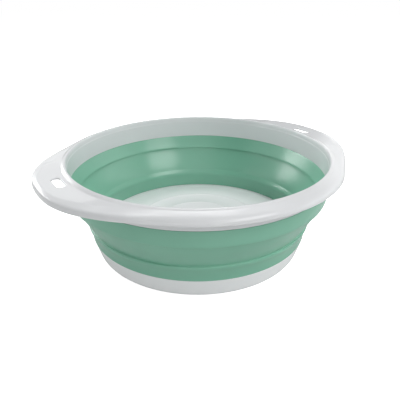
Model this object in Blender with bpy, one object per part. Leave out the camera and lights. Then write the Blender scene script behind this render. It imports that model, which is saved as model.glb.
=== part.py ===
"""Collapsible bowl: a stiff rim with two handle tabs, a soft wall that turns inside out, a stiff base.

Units are metres and +Z is up. The origin is on the table, under the centre of the bowl. The two handle
tabs lie along X. Radii are measured from the Z axis. Every ring is stacked on the one below it.
"""

import math

import bmesh
import bpy
from mathutils import Matrix

# Heights of the rings, from the table up
base_height = 0.0232
lower_wall_height = 0.0212
fold_height = 0.0272
upper_wall_height = 0.0214
collar_height = 0.0235

# Fit between neighbours
gap = 0.0003
overrun = 0.004

# Collar: the upright part of the rim
collar_radius = 0.1500
collar_wall = 0.0019
collar_draft = 0.0002
collar_lap_depth = 0.0045
collar_tongue_wall = 0.0010

# Bead along the top of the collar
bead_inner_height = 0.0068
bead_width = 0.0076
bead_drop = 0.0020
bead_crest_share = 0.28

# Flange: a level top beside the bead, a band that falls away to a corner, and the skirt
flange_reach = 0.0175
flange_wall = 0.0023
level_reach = 0.0053
level_least = 0.0006
corner_width = 0.0023
corner_drop = 0.0038
edge_inset = 0.0006
edge_height = 0.0012
band_power = 1.2
band_shares = (0.30, 0.65)
skirt_wall = 0.0020
skirt_height = 0.0105
skirt_flare = 0.0004

# Handle tabs: the flange grows outwards round two opposite points, and its level top with it
tab_reach = 0.0200
tab_half_angle = math.radians(49)
tab_flat_angle = math.radians(6)
tab_level_reach = 0.0328
tab_level_angle = math.radians(26)
tab_level_power = 2.6
pad_half_angle = math.radians(20)
pad_blend_angle = math.radians(5)
pad_lean = math.radians(7)

# Hang-holes, one through each tab
hole_inner_offset = 0.0108
hole_width = 0.0094
hole_length = 0.0266

# Upper wall: the soft ring under the collar
soft_proud = 0.0003
shoulder_height = 0.0118
shoulder_inset = 0.0020
shoulder_drop_share = 0.16
neck_height = 0.0019
neck_inset = 0.0013
upper_ridge_proud = 0.0014
upper_ridge_height = 0.0016
upper_ridge_nose_share = 0.45
upper_ridge_round = 0.0003

# Fold wall: the soft cone that turns inside out
fold_inset = 0.0004
fold_step = 0.0175
fold_thickness = 0.0030
fold_curve_shares = ((0.0, 0.0), (0.28, 0.33), (0.63, 0.67), (1.0, 1.0))

# Lower wall: the soft ring above the base
ledge_proud = 0.0030
ledge_round = 0.0018
lower_step = 0.0042
lower_curve_shares = (0.95, 0.56)
lower_ridge_step = 0.0016
lower_ridge_drop = 0.0088
lower_ridge_relief = 0.0005
lower_ridge_round = 0.0016
lower_slope_shares = (0.48, 0.66)
base_lap_depth = 0.0043

# Base dish
lip_wall = 0.0014
side_lean = 0.0053
side_wall = 0.0028
foot_round = 0.0052
foot_width = 0.0029
foot_turn_share = 0.35
floor_wall = 0.0026
floor_rise = 0.0070
floor_curve_shares = ((0.0, 0.0), (0.18, -0.30), (0.62, 0.96), (1.0, 1.0))
plateau_radius = 0.0755
plateau_ring_radius = 0.0500
ring_width = 0.0022
ring_height = 0.0007

# Smoothness of the turned and swept shapes, as counts
turn_steps = 72
curve_steps = 5
fold_steps = 8
round_steps = 3
edge_steps = 2
hole_end_steps = 6
hole_side_steps = 3
sharp_angle = math.radians(32)

# Colours, roughness
stiff_white = ((0.86, 0.88, 0.89, 1.0), 0.22)
soft_green = ((0.20, 0.40, 0.30, 1.0), 0.42)

# Levels that the rings share
hinge_low = base_height + lower_wall_height
hinge_high = hinge_low + fold_height
seam_high = hinge_high + upper_wall_height
crest_height = seam_high + collar_height
collar_bottom = seam_high - collar_lap_depth
seam_low_inside = base_height - base_lap_depth

# Radii that the rings share, from the collar down
collar_outer = collar_radius + collar_wall
upper_outer = collar_outer + soft_proud
lip_outer = upper_outer - shoulder_inset
neck_outer = lip_outer - neck_inset
fold_outer_top = neck_outer - fold_inset
fold_outer_low = fold_outer_top - fold_step
upper_ridge_radius = fold_outer_top - fold_thickness - upper_ridge_proud
ledge_outer = fold_outer_low + ledge_proud
lower_ridge_radius = fold_outer_low - fold_thickness - lower_ridge_step
lower_inner = lower_ridge_radius + lower_ridge_relief
base_outer = ledge_outer - lower_step
flange_outer = collar_radius + flange_reach
bead_foot = collar_radius + bead_width
crest_radius = collar_radius + bead_width * bead_crest_share


def curve(points, steps):
    """Points on a Bezier curve through any number of control points, both ends included."""
    order = len(points) - 1
    out = []
    for i in range(steps + 1):
        t = i / steps
        weights = [math.comb(order, k) * t**k * (1 - t) ** (order - k) for k in range(order + 1)]
        out.append(tuple(sum(w * p[axis] for w, p in zip(weights, points)) for axis in (0, 1)))
    return out


def between(start, end, shares):
    """The points that lie at the given shares of the way from start to end, in radius and in height."""
    return [
        (start[0] + (end[0] - start[0]) * share_r, start[1] + (end[1] - start[1]) * share_z)
        for share_r, share_z in shares
    ]


def smooth_step(value):
    """0 below 0, 1 above 1 and an even S between."""
    value = min(max(value, 0.0), 1.0)
    return value * value * (3 - 2 * value)


def make_material(name, finish):
    colour, roughness = finish
    material = bpy.data.materials.new(name)
    material.use_nodes = True
    shader = material.node_tree.nodes["Principled BSDF"]
    shader.inputs["Base Color"].default_value = colour
    shader.inputs["Roughness"].default_value = roughness
    shader.inputs["Metallic"].default_value = 0.0
    return material


def finish_piece(name, bm, finish, carrier=None):
    """Turns a bmesh in world places into a shaded object, carried by an empty if one is given."""
    bmesh.ops.remove_doubles(bm, verts=bm.verts, dist=gap / 10)
    bmesh.ops.recalc_face_normals(bm, faces=bm.faces)
    mesh = bpy.data.meshes.new(name)
    if carrier is not None:
        bm.transform(Matrix.Translation(-carrier.location))
    bm.to_mesh(mesh)
    bm.free()
    mesh.shade_smooth()
    mesh.set_sharp_from_angle(angle=sharp_angle)
    mesh.materials.append(make_material(name, finish))
    piece = bpy.data.objects.new(name, mesh)
    bpy.context.collection.objects.link(piece)
    piece.parent = carrier
    return piece


def turned_piece(name, outline, finish, closed=True, carrier=None):
    """Turns an outline of (radius, height) points about the Z axis into a solid ring or dish."""
    bm = bmesh.new()
    verts = [bm.verts.new((radius, 0.0, height)) for radius, height in outline]
    edges = [bm.edges.new(pair) for pair in zip(verts, verts[1:])]
    if closed:
        edges.append(bm.edges.new((verts[-1], verts[0])))
    bmesh.ops.spin(
        bm,
        geom=verts + edges,
        cent=(0.0, 0.0, 0.0),
        axis=(0.0, 0.0, 1.0),
        angle=2 * math.pi,
        steps=turn_steps,
        use_merge=True,
    )
    return finish_piece(name, bm, finish, carrier)


def off_tab(angle):
    """The angle between a direction and the nearer of the two tabs, from 0 to a right angle."""
    folded = abs(math.remainder(angle, 2 * math.pi))
    return min(folded, math.pi - folded)


def top_height(radius, off):
    """Height of the bead and of the level top beside it, which leans outwards beyond the tab's pad."""
    across = (radius - crest_radius) / (bead_foot - crest_radius)
    lean = pad_lean * smooth_step((off - pad_half_angle) / pad_blend_angle)
    fall = math.tan(lean) * max(radius - bead_foot, 0.0)
    return crest_height - bead_drop * smooth_step(across) - fall


def rim_section(angle):
    """The rim's closed section at one direction, as (radius, height) points from the bead's inside round.

    The outer edge swells over each tab as an even S of the angle off the tab. The level top swells
    in a narrower bell, so the band that falls from it to the corner is widest on the tab's flanks.
    """
    off = off_tab(angle)
    swell = 1 - smooth_step((off - tab_flat_angle) / (tab_half_angle - tab_flat_angle))
    bell = math.exp(-((off / tab_level_angle) ** tab_level_power))
    outer = flange_outer + tab_reach * swell
    level_end = collar_radius + level_reach + (tab_level_reach - level_reach) * bell
    corner = outer - corner_width
    corner_height = crest_height - corner_drop
    skirt_low = crest_height - skirt_height

    bead_inner = collar_radius + collar_draft
    bead_base = crest_height - bead_inner_height
    crest = (crest_radius, crest_height)
    bead = curve([(bead_inner, bead_base), (bead_inner, crest_height), crest], round_steps)
    foot = min(bead_foot, level_end - level_least)
    level_radii = ((crest_radius + foot) / 2, foot, level_end)
    level = [(radius, top_height(radius, off)) for radius in level_radii]

    run, fall = corner - level_end, level[-1][1] - corner_height
    shares = (*band_shares, 1.0)
    band = [(level_end + run * share, level[-1][1] - fall * share**band_power) for share in shares]
    face = outer - edge_inset
    face_top = corner_height - band_power * fall / run * (face - corner)
    edge = curve([band[-1], (face, face_top), (face, face_top - edge_height)], edge_steps)

    under = crest_height - bead_drop - flange_wall
    under_level = max(level_end - flange_wall, collar_outer + 2 * flange_wall)
    return (
        bead
        + level
        + band
        + edge[1:]
        + [
            (outer + skirt_flare, skirt_low),
            (outer + skirt_flare - skirt_wall, skirt_low),
            (face - skirt_wall, corner_height - flange_wall),
            (under_level, min(under, level[-1][1] - flange_wall)),
            (collar_outer + flange_wall, under),
            (collar_outer, under - flange_wall),
            (collar_outer, seam_high + gap),
            (collar_radius + collar_tongue_wall, seam_high + gap),
            (collar_radius + collar_tongue_wall, collar_bottom),
            (collar_radius, collar_bottom),
        ]
    )


def hole_cutter(name, side):
    """A curved slot, concentric with the bowl, with round ends, that cuts through one tab."""
    middle = collar_radius + hole_inner_offset + hole_width / 2
    end_radius = hole_width / 2
    half_turn = (hole_length / 2 - end_radius) / middle
    outline = []
    for end in (1, -1):
        x, y = middle * math.cos(half_turn * end), middle * math.sin(half_turn * end)
        turn = half_turn * end + (0 if end == 1 else math.pi)
        for i in range(hole_end_steps + 1):
            swing = turn + math.pi * i / hole_end_steps
            outline.append((x + end_radius * math.cos(swing), y + end_radius * math.sin(swing)))
        radius = middle - end_radius * end
        for i in range(1, hole_side_steps):
            swing = half_turn * end * (1 - 2 * i / hole_side_steps)
            outline.append((radius * math.cos(swing), radius * math.sin(swing)))
    bm = bmesh.new()
    low = crest_height - skirt_height - overrun
    face = bm.faces.new([bm.verts.new((side * x, side * y, low)) for x, y in outline])
    lifted = bmesh.ops.extrude_face_region(bm, geom=[face])
    risen = [item for item in lifted["geom"] if isinstance(item, bmesh.types.BMVert)]
    bmesh.ops.translate(bm, verts=risen, vec=(0.0, 0.0, skirt_height + 2 * overrun))
    bmesh.ops.recalc_face_normals(bm, faces=bm.faces)
    mesh = bpy.data.meshes.new(name)
    bm.to_mesh(mesh)
    bm.free()
    cutter = bpy.data.objects.new(name, mesh)
    bpy.context.collection.objects.link(cutter)
    cutter.hide_render = True
    cutter.display_type = "WIRE"
    return cutter


def make_rim(carrier):
    """Sweeps the rim's changing section round the axis, then cuts a hang-hole through each tab."""
    bm = bmesh.new()
    rings = []
    for i in range(turn_steps):
        angle = 2 * math.pi * i / turn_steps
        across, along = math.cos(angle), math.sin(angle)
        section = rim_section(angle)
        rings.append([bm.verts.new((r * across, r * along, z)) for r, z in section])
    for ring, following in zip(rings, rings[1:] + rings[:1]):
        for k in range(len(ring)):
            bm.faces.new((ring[k - 1], ring[k], following[k], following[k - 1]))
    rim = finish_piece("rim_ring", bm, stiff_white, carrier)
    for name, side in (("hang_hole_right", 1), ("hang_hole_left", -1)):
        cut = rim.modifiers.new(name, "BOOLEAN")
        cut.operation = "DIFFERENCE"
        cut.solver = "EXACT"
        cut.object = hole_cutter(name, side)
    return rim


def make_upper_wall(carrier):
    """The soft ring that laps the collar's tongue outside, with a shoulder, a neck and a ridge."""
    lip_height = hinge_high + neck_height
    shoulder_top = lip_height + shoulder_height
    skin = collar_radius + collar_tongue_wall + gap
    inner_top = (collar_radius, collar_bottom - gap)
    ridge_nose = (upper_ridge_radius, hinge_high + upper_ridge_height * upper_ridge_nose_share)
    outline = [(skin, seam_high), (upper_outer, seam_high)]
    shoulder_bend = (upper_outer, lip_height + shoulder_height * shoulder_drop_share)
    outline += curve([(upper_outer, shoulder_top), shoulder_bend, (lip_outer, lip_height)], curve_steps)
    outline += [
        (neck_outer, lip_height),
        (neck_outer, hinge_high),
        (upper_ridge_radius + upper_ridge_proud, hinge_high),
        ridge_nose,
    ]
    ridge_top = (upper_ridge_radius + upper_ridge_round, hinge_high + upper_ridge_height)
    middle_radius = (ridge_top[0] + inner_top[0] + upper_ridge_proud) / 2
    middle = (middle_radius, (ridge_top[1] + inner_top[1]) / 2)
    outline += curve([ridge_top, middle, inner_top], round_steps)
    outline += [(skin, collar_bottom - gap)]
    return turned_piece("upper_wall", outline, soft_green, carrier=carrier)


def make_fold_wall():
    """The soft cone between the two hinge lines. It stands free of both rings by the gap."""
    top = (fold_outer_top, hinge_high - gap)
    low = (fold_outer_low, hinge_low + gap)
    outside = curve(between(top, low, fold_curve_shares), fold_steps)
    inside = [(radius - fold_thickness, height) for radius, height in reversed(outside)]
    return turned_piece("fold_wall", outside + inside, soft_green)


def make_lower_wall():
    """The soft ring that starts in a ledge and laps the base's lip inside."""
    ledge = (ledge_outer, hinge_low - ledge_round)
    seam = (base_outer, base_height + gap)
    skin = base_outer - lip_wall - gap
    inner_top = (fold_outer_low - fold_thickness, hinge_low)
    ridge = (lower_ridge_radius, hinge_low - lower_ridge_drop)
    below = (lower_inner, ridge[1] - lower_ridge_round)
    bend = between(ledge, seam, [lower_curve_shares])[0]
    slope = between(inner_top, ridge, [lower_slope_shares])[0]
    outline = [(ledge_outer - ledge_round, hinge_low)]
    outline += curve([ledge, bend, seam], curve_steps)
    outline += [(skin, base_height + gap), (skin, seam_low_inside)]
    outline += [(lower_inner, seam_low_inside), below]
    outline += curve([ridge, slope, inner_top], curve_steps)
    return turned_piece("lower_wall", outline, soft_green)


def ring_bump(radius, height):
    """A low raised ring on the floor, as three points from inside out."""
    half = ring_width / 2
    return [(radius - half, height), (radius, height + ring_height), (radius + half, height)]


def make_base():
    """The stiff dish: a domed floor with two raised rings, a leaning side and a rounded open foot."""
    shoulder = seam_low_inside - gap
    lip_inner = base_outer - lip_wall
    foot_outer = base_outer - side_lean
    floor_edge = (lower_inner, shoulder)
    plateau_edge = (plateau_radius + ring_width / 2, shoulder + floor_rise)
    floor = curve(between(floor_edge, plateau_edge, floor_curve_shares), curve_steps + 1)
    plateau = shoulder + floor_rise
    outline = [(0.0, plateau)]
    outline += ring_bump(plateau_ring_radius, plateau)
    outline += ring_bump(plateau_radius, plateau)
    outline += floor[-2::-1]
    outline += [(lip_inner, shoulder), (lip_inner, base_height), (base_outer, base_height)]
    foot_turn = (foot_outer - foot_round * foot_turn_share, 0.0)
    outline += curve([(foot_outer, foot_round), foot_turn, (foot_outer - foot_round, 0.0)], round_steps)
    side_inner = base_outer - side_wall
    foot_inner = foot_outer - foot_round - foot_width
    corner = (side_inner - floor_wall, shoulder - floor_wall)
    outline += [(foot_inner, 0.0), (foot_inner, foot_width), corner]
    reach = corner[0] - floor_wall
    outline += [(radius, height - floor_wall) for radius, height in floor if radius < reach]
    outline += [(0.0, plateau - floor_wall)]
    return turned_piece("base_dish", outline, stiff_white, closed=False)


def main():
    for leftover in list(bpy.data.objects):
        bpy.data.objects.remove(leftover)
    carrier = bpy.data.objects.new("rim_carrier", None)
    carrier.location = (0.0, 0.0, hinge_high)
    bpy.context.collection.objects.link(carrier)
    make_rim(carrier)
    make_upper_wall(carrier)
    make_fold_wall()
    make_lower_wall()
    make_base()


main()
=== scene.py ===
"""Looks of the collapsible bowl: a glossy white rim and base and a satin sage-green bellows wall.

Units are metres and +Z is up. Every shape is a section of (radius, height) points carried round the Z
axis. The levels come from the frame, and the sizes of each section are named beside it.
"""

import bpy
import numpy as np
from mathutils import Matrix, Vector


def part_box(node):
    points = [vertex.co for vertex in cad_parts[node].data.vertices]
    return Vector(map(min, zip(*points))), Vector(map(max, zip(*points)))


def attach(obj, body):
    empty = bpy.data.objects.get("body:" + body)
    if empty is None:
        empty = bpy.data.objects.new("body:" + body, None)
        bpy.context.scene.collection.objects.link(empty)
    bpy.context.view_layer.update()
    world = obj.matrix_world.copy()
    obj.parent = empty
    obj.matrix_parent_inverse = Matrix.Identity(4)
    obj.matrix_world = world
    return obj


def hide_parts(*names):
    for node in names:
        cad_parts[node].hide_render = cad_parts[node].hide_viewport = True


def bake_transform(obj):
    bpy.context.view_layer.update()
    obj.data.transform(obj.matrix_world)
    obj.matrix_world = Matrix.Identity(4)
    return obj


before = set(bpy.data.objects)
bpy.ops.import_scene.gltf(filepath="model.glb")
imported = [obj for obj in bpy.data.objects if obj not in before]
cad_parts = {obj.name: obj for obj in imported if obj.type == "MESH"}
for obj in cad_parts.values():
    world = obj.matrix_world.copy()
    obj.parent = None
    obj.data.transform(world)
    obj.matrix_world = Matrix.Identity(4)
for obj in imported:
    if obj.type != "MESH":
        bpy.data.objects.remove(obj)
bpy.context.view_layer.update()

MM = 0.001
FULL_TURN = 2 * np.pi

# Levels, read from the frame
crest_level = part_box("rim_ring")[1][2]
tongue_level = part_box("rim_ring")[0][2]
seam_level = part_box("upper_wall")[1][2]
high_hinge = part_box("upper_wall")[0][2]
low_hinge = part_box("lower_wall")[1][2]
inner_seam_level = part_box("lower_wall")[0][2]
base_lap_depth = 4.3 * MM
lip_level = inner_seam_level + base_lap_depth

# Clearance that keeps two mouldings from touching, far below what the eye sees
hairline = 0.06 * MM

# Steps round the axis: the turned pieces, and the rim near its hang-holes and away from them
round_steps = 360
hole_step, plain_step = np.radians(0.25), np.radians(1.0)
hole_reach = np.radians(7)

# Rim
collar_radius = 150.0 * MM
collar_wall = 1.9 * MM
tongue_wall = 1.0 * MM
bead_height = 6.8 * MM
bead_step = 0.22 * MM
bead_width = 7.6 * MM
bead_drop = 2.0 * MM
bead_crest_share = 0.28
flange_reach = 17.5 * MM
flange_wall = 2.3 * MM
level_reach = 5.3 * MM
corner_width = 5.5 * MM
corner_drop = 3.8 * MM
edge_inset = 0.3 * MM
edge_height = 4.0 * MM
tab_corner_width = 2.3 * MM
tab_corner_drop = 2.8 * MM
tab_edge_height = 1.2 * MM
band_power = 1.2
skirt_wall = 2.0 * MM
skirt_height = 10.5 * MM
skirt_flare = 0.4 * MM
tab_reach = 20.0 * MM
tab_half_angle = np.radians(49)
tab_flat_angle = np.radians(6)
tab_level_reach = 32.8 * MM
tab_level_angle = np.radians(26)
tab_level_power = 2.6
pad_half_angle = np.radians(20)
pad_blend_angle = np.radians(5)
pad_lean = np.radians(7)
corner_round = 0.45 * MM
rim_sharp_angle = np.radians(50)
bead_points = 9
level_points = 40
level_crowding = 1.5
band_points = 16
edge_points = 8
roof_points = 24

# Hang-hole
hole_inner_offset = 10.8 * MM
hole_width = 9.4 * MM
hole_length = 26.6 * MM
hole_round = 0.9 * MM
hole_end_points = 17

# Bellows wall
wall_outer = 152.2 * MM
shoulder_height = 11.8 * MM
shoulder_inset = 2.5 * MM
shoulder_bend = 1.9 * MM
shoulder_points = 14
neck_height = 1.6 * MM
neck_inset = 2.0 * MM
fold_inset = 0.4 * MM
fold_step = 15.1 * MM
fold_thickness = 2.4 * MM
fold_curve_shares = np.array([(0.0, 0.0), (0.28, 0.33), (0.73, 0.67), (1.0, 1.0)])
fold_points = 26
fold_points_trimmed = 3
high_ridge_proud = 2.0 * MM
high_ridge_height = 1.6 * MM
ledge_proud = 2.4 * MM
valley_drop = 1.8 * MM
ledge_fall = 1.2 * MM, 4.0 * MM
ledge_points = 9
valley_round = 0.8 * MM
lower_step = 4.8 * MM
lower_curve_shares = np.array([(0.0, 0.0), (0.95, 0.56), (1.0, 1.0)])
lower_points = 12
low_ridge_step = 3.4 * MM
low_ridge_drop = 8.8 * MM
low_ridge_relief = 0.5 * MM
low_nose_height = 2.6 * MM
low_nose_proud = 0.6 * MM
low_shelf_rise = 5.0 * MM
low_shelf_inset = 1.9 * MM
ridge_points = 8
inner_bulge_share = 0.25

# Base
lip_wall = 1.4 * MM
side_lean = 5.3 * MM
side_wall = 2.8 * MM
foot_round = 5.2 * MM
foot_width = 2.9 * MM
foot_turn_share = 0.35
foot_points = 12
side_points = 8
floor_wall = 2.6 * MM
floor_rise = 7.0 * MM
floor_drop = 0.3 * MM
floor_curve_shares = np.array([(0.0, 0.0), (0.18, -0.30), (0.62, 0.96), (1.0, 1.0)])
floor_points = 24
plateau_radius = 75.5 * MM
inner_ring_radius = 50.0 * MM
ring_width = 2.2 * MM
ring_height = 0.6 * MM
ring_points = 9
hub_radius = 2.0 * MM

# Roundings shared by the mouldings
lip_round = 0.5 * MM
ridge_round = 1.5 * MM
seam_round = 0.25 * MM

# Camera, measured from the photograph
camera_distance = 0.5030
camera_height = 0.2910
camera_turn = np.radians(-90 - 32.2)
camera_pitch = np.radians(25.385)
camera_yaw = np.radians(0.248)
camera_roll = np.radians(-0.240)
camera_lens, camera_sensor = 40.5, 36.0

# Materials: colours in linear light, noise scales in features per metre
noise_low, noise_high = 0.3, 0.7
smoothest, roughest = 0.21, 0.26
white_refraction, green_refraction = 1.49, 1.50
white_cloud_scale, white_gloss_scale = 9.0, 45.0
white_grain_scale, white_grain_strength, white_grain_depth = 1500.0, 0.03, 0.08 * MM
green_cloud_scale, green_cloud_detail, green_gloss_scale = 11.0, 3.0, 60.0
green_swell_scale, green_swell_detail = 18.0, 1.0
green_swell_strength, green_swell_depth = 0.06, 1.2 * MM
green_grain_scale, green_grain_strength, green_grain_depth = 2400.0, 0.10, 0.06 * MM
# The rim and the base are one white plastic; the rim's tones are set darker than the base's as painted
# shade, a shaded copy of the same white.
rim_shaded_tones = (0.682, 0.695, 0.709), (0.702, 0.715, 0.727)
base_tones = (0.836, 0.852, 0.862), (0.858, 0.872, 0.881)
green_tones = (0.192, 0.442, 0.324), (0.212, 0.476, 0.349)

# Studio floor: its lift is the share of white added to what the camera sees, near the bowl and far off
floor_half_width = 6.0
floor_tone, floor_tone_spread = 0.74, 0.02
floor_noise_scale, floor_roughness = 2.0, 0.9
floor_lift_near, floor_lift_far = 0.80, 1.0
floor_lift_from, floor_lift_to = 0.25, 0.9

# Studio light. Angles are in degrees to the right of the camera, lengths in metres, powers in watts.
# Each row is name, angle, distance from the axis, height, height aimed at, width, tallness, power.
studio_lamps = [
    ("lamp_above_left", -120, 0.5, 1.25, 0.06, 0.6, 0.6, 1.2),
    ("lamp_above_right", 120, 0.5, 1.25, 0.06, 0.6, 0.6, 1.6),
    ("lamp_above_back", 180, 0.5, 1.25, 0.06, 0.6, 0.6, 5.6),
    ("lamp_front", 0, 0.9, 0.9, 0.06, 0.6, 0.6, 0.8),
    ("lamp_front_right", 45, 0.9, 0.9, 0.06, 0.6, 0.6, 5.9),
    ("panel_front", 0, 1.4, 0.45, 0.10, 1.2, 0.8, 4.6),
    ("panel_left", -80, 1.4, 0.45, 0.10, 1.2, 0.8, 3.4),
    ("panel_right", 90, 1.4, 0.45, 0.10, 1.2, 0.8, 4.8),
    ("panel_back_left", -121, 1.4, 0.55, 0.10, 0.9, 0.4, 9.5),
    ("panel_back", -155, 1.4, 0.55, 0.10, 1.0, 0.7, 2.9),
    ("panel_back_right", 135, 1.4, 0.45, 0.10, 1.2, 0.8, 4.0),
]

# Radii that follow
bead_foot_radius = collar_radius + bead_width
crest_radius = collar_radius + bead_width * bead_crest_share
collar_outer = collar_radius + collar_wall
flange_outer = collar_radius + flange_reach
lip_outer = wall_outer - shoulder_inset
neck_outer = lip_outer - neck_inset
fold_top_outer = neck_outer - fold_inset
fold_low_outer = fold_top_outer - fold_step
high_ridge_radius = fold_top_outer - fold_thickness - high_ridge_proud
ledge_outer = fold_low_outer + ledge_proud
low_ridge_radius = fold_low_outer - fold_thickness - low_ridge_step
lower_inner = low_ridge_radius + low_ridge_relief
base_outer = ledge_outer - lower_step
foot_outer = base_outer - side_lean


def smooth(value):
    """The S curve 3v^2 - 2v^3, held to 0 and 1 outside them."""
    value = np.clip(value, 0.0, 1.0)
    return value * value * (3 - 2 * value)


def at(radius, height):
    """One (radius, height) point, or one per direction if either is an array over directions."""
    return np.stack(np.broadcast_arrays(radius, height), -1)


def rounded(before, corner, after, reach, steps=5):
    """A corner P between Q and R as the curve (1-t)^2 A + 2t(1-t) P + t^2 B, where A and B lie on its two
    sides, reach away from P but never past the middle of a side."""
    to_before, to_after = before - corner, after - corner
    start = corner + to_before * np.minimum(reach / np.linalg.norm(to_before, axis=-1, keepdims=True), 0.5)
    end = corner + to_after * np.minimum(reach / np.linalg.norm(to_after, axis=-1, keepdims=True), 0.5)
    t = np.linspace(0.0, 1.0, steps)[:, None]
    start, middle, end = start[..., None, :], corner[..., None, :], end[..., None, :]
    return (1 - t) ** 2 * start + 2 * t * (1 - t) * middle + t**2 * end


def quad_bend(start, middle, end, steps):
    """The curve (1-t)^2 A + 2t(1-t) P + t^2 B from A to B, pulled towards P."""
    t = np.linspace(0.0, 1.0, steps + 1)[:, None]
    start, middle, end = (np.asarray(point)[..., None, :] for point in (start, middle, end))
    return (1 - t) ** 2 * start + 2 * t * (1 - t) * middle + t**2 * end


def cubic_bend(start, end, shares, steps):
    """The cubic Bezier curve whose four control points lie at the given shares of the way to the end."""
    t = np.linspace(0.0, 1.0, steps + 1)[:, None]
    early = ((1 - t) ** 3) * shares[0] + 3 * t * (1 - t) ** 2 * shares[1]
    late = 3 * t**2 * (1 - t) * shares[2] + t**3 * shares[3]
    return start + (end - start) * (early + late)


def straight(start, end, steps):
    """Even steps along the line from start to end, with both ends."""
    t = np.linspace(0.0, 1.0, steps + 1)[:, None]
    return start[..., None, :] + (end - start)[..., None, :] * t


def closed_grid(around, along):
    """Quads of a grid that is closed both round the axis and along its section, facing out."""
    i, k = np.meshgrid(np.arange(around), np.arange(along), indexing="ij")
    j, m = (i + 1) % around, (k + 1) % along
    return np.stack([i * along + k, i * along + m, j * along + m, j * along + k], -1).reshape(-1, 4)


def carried(section, turn):
    """The points (r cos a, r sin a, z) of a section in each direction a."""
    radius, height = section[..., 0], section[..., 1]
    turn = turn[:, None]
    return np.stack([radius * np.cos(turn), radius * np.sin(turn), height + 0 * turn], -1).reshape(-1, 3)


def add_piece(name, verts, faces, material):
    """Puts worked-out points and faces into a smooth-shaded object at the origin."""
    mesh = bpy.data.meshes.new(name)
    mesh.from_pydata(verts.tolist(), [], faces)
    mesh.shade_smooth()
    mesh.materials.append(material)
    piece = bpy.data.objects.new(name, mesh)
    bpy.context.collection.objects.link(piece)
    return piece


def turned_ring(outline, around):
    """A closed outline turned about the Z axis: the point (r, z) becomes (r cos a, r sin a, z)."""
    turn = np.arange(around) * FULL_TURN / around
    return carried(outline[None], turn), closed_grid(around, len(outline)).tolist()


def turned_dish(outline, around):
    """An outline that starts and ends on the axis, turned about it, with a fan of triangles at each end."""
    turn = np.arange(around) * FULL_TURN / around
    ring = outline[1:-1]
    along = len(ring)
    quads = closed_grid(around, along).reshape(around, along, 4)[:, :-1].reshape(-1, 4)
    verts = np.vstack([carried(ring[None], turn), [(0, 0, outline[0, 1]), (0, 0, outline[-1, 1])]])
    here = np.arange(around) * along
    there = np.roll(here, -1)
    top, low = np.full(around, around * along), np.full(around, around * along + 1)
    upper_fan = np.stack([top, here, there], -1)
    lower_fan = np.stack([low, there + along - 1, here + along - 1], -1)
    return verts, quads.tolist() + upper_fan.tolist() + lower_fan.tolist()


def slot_distance(radius, turn):
    """How far a point lies outside the nearer hang-hole's outline, a slot bent round the axis.
    With s the arc length off the tab and p the distance from the slot's middle line, it is
    hypot(max(|s| - half of the straight part, 0), p) - half of the width."""
    middle = collar_radius + hole_inner_offset + hole_width / 2
    off = np.arccos(np.clip(np.abs(np.cos(turn)), 0, 1))
    past = np.maximum(middle * off - (hole_length - hole_width) / 2, 0)
    return np.hypot(past, radius - middle) - hole_width / 2


def top_height(radius, off):
    """The bead and its level top.

    It is crest - drop S((r - crest) / (foot - crest)) - tan(lean) max(r - foot, 0), and S is the curve
    3v^2 - 2v^3. The lean is zero on the tab's pad and sets in beyond it.
    """
    across = (radius - crest_radius) / (bead_foot_radius - crest_radius)
    lean = pad_lean * smooth((off - pad_half_angle) / pad_blend_angle)
    beyond = np.maximum(radius - bead_foot_radius, 0)
    return crest_level - bead_drop * smooth(across) - np.tan(lean) * beyond


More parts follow.
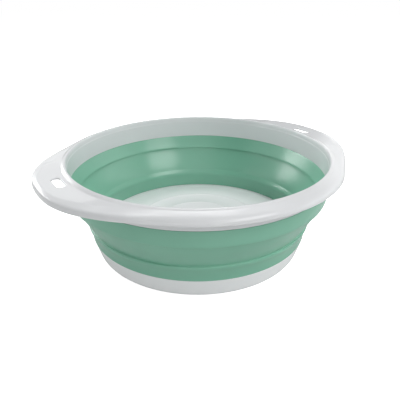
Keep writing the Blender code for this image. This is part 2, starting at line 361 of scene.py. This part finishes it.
def rim_section(turn):
    """The rim's closed section in each direction.

    With a the angle off the nearer tab, the outer edge swells by 1 - S((a - flat) / (half - flat)). The
    level top beside the bead swells by exp(-(a / width)^power), which is narrower. From its end the band
    falls by v^power, with v from 0 to 1 at the corner above the skirt. The corner's rounding is wide on the
    ring and narrows on the tab by the same exponential.
    """
    off = np.arccos(np.clip(np.abs(np.cos(turn)), 0, 1))
    swell = 1 - smooth((off - tab_flat_angle) / (tab_half_angle - tab_flat_angle))
    bell = np.exp(-((off / tab_level_angle) ** tab_level_power))
    outer = flange_outer + tab_reach * swell
    level_end = collar_radius + level_reach + (tab_level_reach - level_reach) * bell
    width = corner_width + (tab_corner_width - corner_width) * bell
    edge_low = edge_height + (tab_edge_height - edge_height) * bell
    corner = outer - width
    corner_level = crest_level - corner_drop - (tab_corner_drop - corner_drop) * bell
    skirt_low = crest_level - skirt_height + 0 * off
    bead_base = crest_level - bead_height + 0 * off

    share = np.linspace(0, 1, level_points + 1)
    radius = crest_radius + (level_end - crest_radius)[:, None] * share**level_crowding
    level = at(radius, top_height(radius, off[:, None]))
    start, run = level[:, -1, 1], corner - level_end
    fall = start - corner_level
    share = np.linspace(0, 1, band_points + 1)[1:]
    band_radius = level_end[:, None] + run[:, None] * share
    band = at(band_radius, start[:, None] - fall[:, None] * share**band_power)
    edge_drop = band_power * fall / run * (width - edge_inset)
    edge_turn = at(outer - edge_inset, corner_level - edge_drop)
    edge_end = at(outer - edge_inset, corner_level - edge_drop - edge_low)

    under = crest_level - bead_drop - flange_wall
    tongue = collar_radius + tongue_wall
    seam = seam_level + hairline + 0 * off
    wall_foot = at(collar_radius, tongue_level + 0 * off)
    step_low = at(collar_radius, bead_base)
    step_high = at(collar_radius + bead_step, bead_base + bead_step)
    crest = at(crest_radius, crest_level + 0 * off)
    over_step = at(collar_radius + bead_step, crest_level + 0 * off)
    skirt_out = at(outer + skirt_flare, skirt_low)
    skirt_in = at(outer + skirt_flare - skirt_wall, skirt_low)
    roof_level = np.minimum(corner_level, crest_level - corner_drop) - flange_wall
    roof_out = at(outer - edge_inset - skirt_wall, roof_level)
    under_level = np.maximum(level_end - flange_wall, collar_outer + 2 * flange_wall)
    roof_middle = at(under_level, np.minimum(under, start - flange_wall))
    roof_in = at(collar_outer + flange_wall, under + 0 * off)
    wall_top = at(collar_outer, under - flange_wall + 0 * off)
    wall_out = at(collar_outer, seam)
    tongue_top = at(tongue, seam)
    tongue_foot = at(tongue, tongue_level + 0 * off)
    parts = [
        rounded(tongue_foot, wall_foot, step_low, corner_round),
        rounded(wall_foot, step_low, step_high, bead_step),
        quad_bend(step_high, over_step, crest, bead_points),
        level[:, 1:],
        band,
        quad_bend(band[:, -1], edge_turn, edge_end, edge_points)[:, 1:],
        rounded(edge_end, skirt_out, skirt_in, skirt_wall / 2),
        rounded(skirt_out, skirt_in, roof_out, skirt_wall / 2),
        rounded(skirt_in, roof_out, roof_middle, flange_wall),
        rounded(roof_out, roof_middle, roof_in, flange_wall / 2),
        straight(roof_middle, roof_in, roof_points)[:, 2:-2],
        rounded(roof_middle, roof_in, wall_top, flange_wall / 2),
        rounded(roof_in, wall_top, wall_out, flange_wall / 2),
        rounded(wall_top, wall_out, tongue_top, corner_round),
        rounded(wall_out, tongue_top, tongue_foot, corner_round),
        rounded(tongue_top, tongue_foot, wall_foot, corner_round),
    ]
    return np.concatenate(parts, axis=-2)


def hole_plug(name, side):
    """A prism of the slot's outline, bent round the axis: its ends are half circles of half the width."""
    middle = collar_radius + hole_inner_offset + hole_width / 2
    half = (hole_length - hole_width) / 2
    swing = np.linspace(-np.pi / 2, np.pi / 2, hole_end_points)
    end_s, end_p = half + np.cos(swing) * hole_width / 2, -np.sin(swing) * hole_width / 2
    s, p = np.concatenate([end_s, -end_s]), np.concatenate([end_p, -end_p])
    turn = s / middle + (0 if side > 0 else np.pi)
    radius = middle + p
    flat = np.stack([radius * np.cos(turn), radius * np.sin(turn)], -1)
    count = len(flat)
    low = np.column_stack([flat, np.full(count, crest_level - skirt_height)])
    high = np.column_stack([flat, np.full(count, crest_level + skirt_height)])
    i = np.arange(count)
    sides = np.stack([i, np.roll(i, -1), np.roll(i, -1) + count, i + count], -1).tolist()
    mesh = bpy.data.meshes.new(name)
    mesh.from_pydata(np.vstack([low, high]).tolist(), [], sides + [i[::-1].tolist(), (i + count).tolist()])
    plug = bpy.data.objects.new(name, mesh)
    bpy.context.collection.objects.link(plug)
    return plug


def build_rim(material):
    """The rim: its section carried round, lowered round the hang-holes' mouths, then pierced.

    Round a mouth the plate's top sinks by R - sqrt(R^2 - (R - d)^2) at the distance d under R, and the
    roof below it rises by half as much.
    """
    near = np.arange(-hole_reach, hole_reach, hole_step)
    far = np.arange(hole_reach, np.pi - hole_reach, plain_step)
    half_turn = np.concatenate([near, far])
    turn = np.concatenate([half_turn, half_turn + np.pi])
    section = rim_section(turn)
    radius, height = section[..., 0], section[..., 1]
    away = slot_distance(radius, turn[:, None])
    inside = np.clip(hole_round - away, 0, hole_round)
    sink = hole_round - np.sqrt(hole_round**2 - inside**2)
    middle_level = crest_level - bead_drop - flange_wall / 2
    on_top = (height > middle_level) & (radius > bead_foot_radius)
    on_roof = (np.abs(height - middle_level) < flange_wall) & (height < middle_level)
    section[..., 1] = height - np.where(on_top, sink, 0) + np.where(on_roof, sink / 2, 0)
    verts = carried(section, turn)
    faces = closed_grid(len(turn), section.shape[1]).tolist()
    rim = add_piece("rim_moulding", verts, faces, material)
    plugs = [hole_plug("hang_hole_plug_right", 1), hole_plug("hang_hole_plug_left", -1)]
    for plug in plugs:
        cut = rim.modifiers.new(plug.name, "BOOLEAN")
        cut.operation, cut.solver, cut.object = "DIFFERENCE", "EXACT", plug
    pierced = bpy.data.meshes.new_from_object(rim.evaluated_get(bpy.context.evaluated_depsgraph_get()))
    rim.modifiers.clear()
    rim.data = pierced
    for plug in plugs:
        bpy.data.objects.remove(plug)
    pierced.shade_smooth()
    pierced.set_sharp_from_angle(angle=rim_sharp_angle)
    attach(rim, "rim")
    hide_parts("rim_ring")


def bellows_outline():
    """The bellows wall's section: down the outside by shoulder, neck, cone and ledge, and up the inside.

    The cone is a cubic curve, its inner face the same curve moved in by the thickness. A few points at each
    end of it make way for the rounded corners.
    """
    lip_height = high_hinge + neck_height
    top_out = at(wall_outer, seam_level)
    shoulder_top = at(wall_outer, lip_height + shoulder_height)
    lip = at(lip_outer, lip_height)
    neck_top = at(neck_outer, lip_height)
    cone_top = at(fold_top_outer, high_hinge)
    cone_low = at(fold_low_outer, low_hinge - valley_drop)
    ledge = at(ledge_outer, low_hinge - valley_drop)
    seam_out = at(base_outer, lip_level + hairline)
    lap_top = at(base_outer - lip_wall - hairline, lip_level + hairline)
    lap_low = at(base_outer - lip_wall - hairline, inner_seam_level)
    inner_foot = at(lower_inner, inner_seam_level)
    low_ridge = at(low_ridge_radius, low_hinge - low_ridge_drop)
    thick = np.array([fold_thickness, 0.0])
    under_high_ridge = at(high_ridge_radius, high_hinge)
    high_ridge = at(high_ridge_radius, high_hinge + high_ridge_height)
    inner_top = at(collar_radius, tongue_level - hairline)
    lap_inner = at(collar_radius + tongue_wall + hairline, tongue_level - hairline)
    top_in = at(collar_radius + tongue_wall + hairline, seam_level)

    shoulder = quad_bend(shoulder_top, at(wall_outer, lip_height + shoulder_bend), lip, shoulder_points)
    cone = cubic_bend(cone_top, cone_low, fold_curve_shares, fold_points)
    side_top = ledge - at(*ledge_fall)
    side_bend, side_end = (ledge + (seam_out - ledge) * share for share in lower_curve_shares[1:])
    side = quad_bend(side_top, side_bend, side_end, lower_points)
    trim = fold_points_trimmed
    valley = rounded(cone[-trim], cone_low, ledge, valley_round)
    shelf = low_ridge + at(low_shelf_inset, low_shelf_rise)
    nose_top = low_ridge - at(low_nose_proud, -low_nose_proud)
    nose_low = low_ridge - at(-low_ridge_relief, low_nose_height)
    nose = quad_bend(nose_low, nose_top, (nose_top + shelf) / 2, ridge_points)
    hollow = quad_bend(nose[-1], shelf, cone_low - thick, ridge_points)
    bulge = (high_ridge + inner_top + thick * inner_bulge_share) / 2
    band = quad_bend(high_ridge, bulge, inner_top, ridge_points)
    parts = [
        rounded(top_in, top_out, shoulder_top, corner_round),
        shoulder[:-1],
        rounded(shoulder[-2], lip, neck_top, lip_round),
        rounded(lip, neck_top, at(neck_outer, high_hinge), lip_round / 2),
        rounded(neck_top, at(neck_outer, high_hinge), cone[trim], lip_round),
        cone[trim : 1 - trim],
        valley,
        quad_bend(valley[-1], ledge, side_top, ledge_points)[1:],
        side[1:-1],
        rounded(side[-2], seam_out, lap_top, seam_round),
        rounded(seam_out, lap_top, lap_low, seam_round),
        rounded(lap_top, lap_low, inner_foot, seam_round),
        rounded(lap_low, inner_foot, nose[0], seam_round),
        nose,
        hollow[1:-1],
        rounded(hollow[-2], cone_low - thick, cone[-trim - 1] - thick, lip_round),
        cone[trim:-trim][::-1] - thick,
        rounded(cone[trim] - thick, cone_top - thick, under_high_ridge, lip_round / 2),
        rounded(cone_top - thick, under_high_ridge, high_ridge, ridge_round),
        rounded(under_high_ridge, high_ridge, band[2], ridge_round),
        band[2:-1],
        rounded(band[-2], inner_top, lap_inner, seam_round),
        rounded(inner_top, lap_inner, top_in, seam_round),
        rounded(lap_inner, top_in, top_out, seam_round),
    ]
    return np.concatenate(parts)


def build_bellows(material):
    """One soft moulding from the collar to the base. Its cone runs between the two hinge levels."""
    verts, faces = turned_ring(bellows_outline(), round_steps)
    bellows = add_piece("bellows_wall", verts, faces, material)
    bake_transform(bellows)
    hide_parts("upper_wall", "fold_wall", "lower_wall")


def floor_ring(radius, level):
    """A low raised ring on the floor as a half wave of cosine, from its inner foot to its outer foot."""
    share = np.linspace(-1, 1, ring_points)
    return at(radius + share * ring_width / 2, level + ring_height * (1 + np.cos(np.pi * share)) / 2)


def base_outline():
    """The base's section: out over the domed floor, up to the lip, down the leaning side and under."""
    shoulder = inner_seam_level - hairline
    plateau = inner_seam_level - floor_drop + floor_rise
    floor_edge = at(lower_inner, shoulder)
    plateau_edge = at(plateau_radius + ring_width / 2, plateau)
    floor = cubic_bend(floor_edge, plateau_edge, floor_curve_shares, floor_points)[::-1]
    lip_in = at(base_outer - lip_wall, shoulder)
    lip_top_in = at(base_outer - lip_wall, lip_level)
    lip_top = at(base_outer, lip_level)
    foot_top = at(foot_outer, foot_round)
    foot_out = at(foot_outer - foot_round, 0.0)
    foot_in = at(foot_outer - foot_round - foot_width, 0.0)
    foot_up = at(foot_outer - foot_round - foot_width, foot_width)
    corner = at(base_outer - side_wall - floor_wall, shoulder - floor_wall)
    thick = np.array([0.0, floor_wall])
    parts = [
        at(np.array([0.0, hub_radius]), plateau),
        floor_ring(inner_ring_radius, plateau),
        floor_ring(plateau_radius, plateau),
        floor[1:-1],
        rounded(floor[-2], floor_edge, lip_in, seam_round),
        rounded(floor_edge, lip_in, lip_top_in, seam_round),
        rounded(lip_in, lip_top_in, lip_top, seam_round),
        rounded(lip_top_in, lip_top, foot_top, seam_round),
        straight(lip_top, foot_top, side_points)[1:-1],
        quad_bend(foot_top, at(foot_outer - foot_round * foot_turn_share, 0.0), foot_out, foot_points),
        rounded(foot_out, foot_in, foot_up, corner_round),
        rounded(foot_in, foot_up, corner, foot_width / 2),
        rounded(foot_up, corner, corner - at(foot_width, 0.0), floor_wall / 2),
        (floor[::-1] - thick)[floor[::-1, 0] < corner[0] - floor_wall],
        at(np.array([hub_radius, 0.0]), plateau - floor_wall),
    ]
    return np.concatenate(parts)


def build_base(material):
    """The base dish turned from its section, closed by a fan at each pole."""
    verts, faces = turned_dish(base_outline(), round_steps)
    base = add_piece("base_moulding", verts, faces, material)
    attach(base, "base")
    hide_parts("base_dish")


class Recipe:
    """A node material under construction: short calls that add one node each and return its output."""

    def __init__(self, name):
        self.material = bpy.data.materials.new(name)
        self.material.use_nodes = True
        self.tree = self.material.node_tree
        self.shader = self.tree.nodes["Principled BSDF"]
        self.place = self.tree.nodes.new("ShaderNodeTexCoord").outputs["Object"]

    def noise(self, scale, detail=2.0, roughness=0.5):
        node = self.tree.nodes.new("ShaderNodeTexNoise")
        self.tree.links.new(self.place, node.inputs["Vector"])
        node.inputs["Scale"].default_value = scale
        node.inputs["Detail"].default_value = detail
        node.inputs["Roughness"].default_value = roughness
        return node.outputs["Fac"]

    def spread(self, value, low, high):
        node = self.tree.nodes.new("ShaderNodeMapRange")
        self.tree.links.new(value, node.inputs["Value"])
        node.inputs["From Min"].default_value = noise_low
        node.inputs["From Max"].default_value = noise_high
        node.inputs["To Min"].default_value = low
        node.inputs["To Max"].default_value = high
        return node.outputs["Result"]

    def blend_colours(self, value, first, second):
        node = self.tree.nodes.new("ShaderNodeMix")
        node.data_type = "RGBA"
        self.tree.links.new(self.spread(value, 0.0, 1.0), node.inputs["Factor"])
        node.inputs["A"].default_value = (*first, 1.0)
        node.inputs["B"].default_value = (*second, 1.0)
        return node.outputs["Result"]

    def bump(self, height, strength, depth, under=None):
        node = self.tree.nodes.new("ShaderNodeBump")
        self.tree.links.new(height, node.inputs["Height"])
        node.inputs["Strength"].default_value = strength
        node.inputs["Distance"].default_value = depth
        if under is not None:
            self.tree.links.new(under, node.inputs["Normal"])
        return node.outputs["Normal"]

    def feed(self, socket, value):
        if isinstance(value, (int, float)):
            self.shader.inputs[socket].default_value = value
        else:
            self.tree.links.new(value, self.shader.inputs[socket])


def glossy_white(name, darker, lighter):
    """Moulded polypropylene: cool white between two tones, faintly clouded, with a fine mould grain."""
    recipe = Recipe(name)
    recipe.feed("Base Color", recipe.blend_colours(recipe.noise(white_cloud_scale), darker, lighter))
    recipe.feed("Roughness", recipe.spread(recipe.noise(white_gloss_scale), smoothest, roughest))
    grain = recipe.noise(white_grain_scale)
    recipe.feed("Normal", recipe.bump(grain, white_grain_strength, white_grain_depth))
    recipe.feed("IOR", white_refraction)
    return recipe.material


def satin_green(name, darker, lighter):
    """Moulded thermoplastic elastomer: sage green, satin, with a dull fine grain and slight mottling."""
    recipe = Recipe(name)
    mottle = recipe.noise(green_cloud_scale, green_cloud_detail)
    recipe.feed("Base Color", recipe.blend_colours(mottle, darker, lighter))
    recipe.feed("Roughness", recipe.spread(recipe.noise(green_gloss_scale), smoothest, roughest))
    waves = recipe.noise(green_swell_scale, green_swell_detail)
    swell = recipe.bump(waves, green_swell_strength, green_swell_depth)
    grain = recipe.noise(green_grain_scale)
    recipe.feed("Normal", recipe.bump(grain, green_grain_strength, green_grain_depth, swell))
    recipe.feed("IOR", green_refraction)
    return recipe.material


def stand_in(angle, distance, height):
    """A place round the bowl's axis, its angle counted to the right from the camera."""
    turn = camera_turn + angle
    return np.array([distance * np.cos(turn), distance * np.sin(turn), height])


def placed(axes, place):
    """The matrix of an object with the given axes, one per column, standing at a place."""
    return Matrix([(*row, along) for row, along in zip(axes, place)] + [(0, 0, 0, 1)])


def soft_light(name, place, aim, width, height, power):
    """A rectangular area light at a place, facing the point it is aimed at."""
    light = bpy.data.lights.new(name, "AREA")
    light.shape, light.size, light.size_y, light.energy = "RECTANGLE", width, height, power
    lamp = bpy.data.objects.new(name, light)
    back = place - np.array(aim)
    back /= np.linalg.norm(back)
    side = np.cross((0.0, 0.0, 1.0), back)
    side /= np.linalg.norm(side)
    up = np.cross(back, side)
    lamp.matrix_world = placed(np.column_stack([side, up, back]), place)
    bpy.context.collection.objects.link(lamp)


def build_floor():
    """A pale floor lifted to white for the camera, less near the bowl, so that the bowl's shadow stays."""
    mesh = bpy.data.meshes.new("studio_floor")
    corners = floor_half_width * np.array([(-1, -1), (1, -1), (1, 1), (-1, 1)])
    mesh.from_pydata([(x, y, -hairline) for x, y in corners.tolist()], [], [(0, 1, 2, 3)])
    recipe = Recipe("studio_floor")
    darker, lighter = (floor_tone,) * 3, (floor_tone + floor_tone_spread,) * 3
    clouds = recipe.noise(floor_noise_scale)
    recipe.feed("Base Color", recipe.blend_colours(clouds, darker, lighter))
    recipe.feed("Roughness", floor_roughness)
    tree = recipe.tree
    rays = tree.nodes.new("ShaderNodeLightPath")
    glow = tree.nodes.new("ShaderNodeEmission")
    added = tree.nodes.new("ShaderNodeAddShader")
    away = tree.nodes.new("ShaderNodeVectorMath")
    away.operation = "LENGTH"
    tree.links.new(recipe.place, away.inputs[0])
    lift_here = tree.nodes.new("ShaderNodeMapRange")
    lift_here.inputs["From Min"].default_value = floor_lift_from
    lift_here.inputs["From Max"].default_value = floor_lift_to
    lift_here.inputs["To Min"].default_value = floor_lift_near
    lift_here.inputs["To Max"].default_value = floor_lift_far
    tree.links.new(away.outputs["Value"], lift_here.inputs["Value"])
    lift = tree.nodes.new("ShaderNodeMath")
    lift.operation = "MULTIPLY"
    tree.links.new(lift_here.outputs["Result"], lift.inputs[1])
    tree.links.new(rays.outputs["Is Camera Ray"], lift.inputs[0])
    tree.links.new(lift.outputs[0], glow.inputs["Strength"])
    tree.links.new(recipe.shader.outputs[0], added.inputs[0])
    tree.links.new(glow.outputs[0], added.inputs[1])
    tree.links.new(added.outputs[0], tree.nodes["Material Output"].inputs["Surface"])
    mesh.materials.append(recipe.material)
    floor = bpy.data.objects.new("studio_floor", mesh)
    bpy.context.collection.objects.link(floor)


def build_world():
    """Pure white where the camera looks past the floor, and dark to all else, so only the lamps light."""
    world = bpy.data.worlds.new("studio")
    bpy.context.scene.world = world
    world.use_nodes = True
    tree = world.node_tree
    shine = tree.nodes["Background"]
    shine.inputs["Color"].default_value = (1.0, 1.0, 1.0, 1.0)
    rays = tree.nodes.new("ShaderNodeLightPath")
    tree.links.new(rays.outputs["Is Camera Ray"], shine.inputs["Strength"])


def build_camera():
    """The photograph's view: placed round the axis from the tabs, then pitched, turned and rolled."""
    data = bpy.data.cameras.new("camera")
    data.sensor_width, data.lens = camera_sensor, camera_lens
    camera = bpy.data.objects.new("camera", data)
    pitch, yaw, roll = camera_pitch, camera_yaw, camera_roll
    forward = np.array([np.sin(yaw) * np.cos(pitch), np.cos(yaw) * np.cos(pitch), -np.sin(pitch)])
    right = np.array([np.cos(yaw), -np.sin(yaw), 0.0])
    up = np.cross(right, forward)
    right, up = right * np.cos(roll) + up * np.sin(roll), up * np.cos(roll) - right * np.sin(roll)
    swing = camera_turn + np.pi / 2
    spin = np.array([(np.cos(swing), -np.sin(swing), 0), (np.sin(swing), np.cos(swing), 0), (0, 0, 1)])
    axes = spin @ np.column_stack([right, up, -forward])
    place = stand_in(0.0, camera_distance, camera_height)
    camera.matrix_world = placed(axes, place)
    bpy.context.collection.objects.link(camera)
    bpy.context.scene.camera = camera


# The rim's white is a darker copy of the base's white: painted shade.
rim_shaded_white = glossy_white("glossy_white_rim_shaded", *rim_shaded_tones)
base_white = glossy_white("glossy_white_base", *base_tones)
green = satin_green("satin_green_elastomer", *green_tones)
build_rim(rim_shaded_white)
build_bellows(green)
build_base(base_white)
build_camera()
build_floor()
build_world()
for name, angle, distance, level, aim_level, width, tallness, power in studio_lamps:
    place = stand_in(np.radians(angle), distance, level)
    soft_light(name, place, (0.0, 0.0, aim_level), width, tallness, power)

bpy.context.scene.view_settings.view_transform = "Standard"
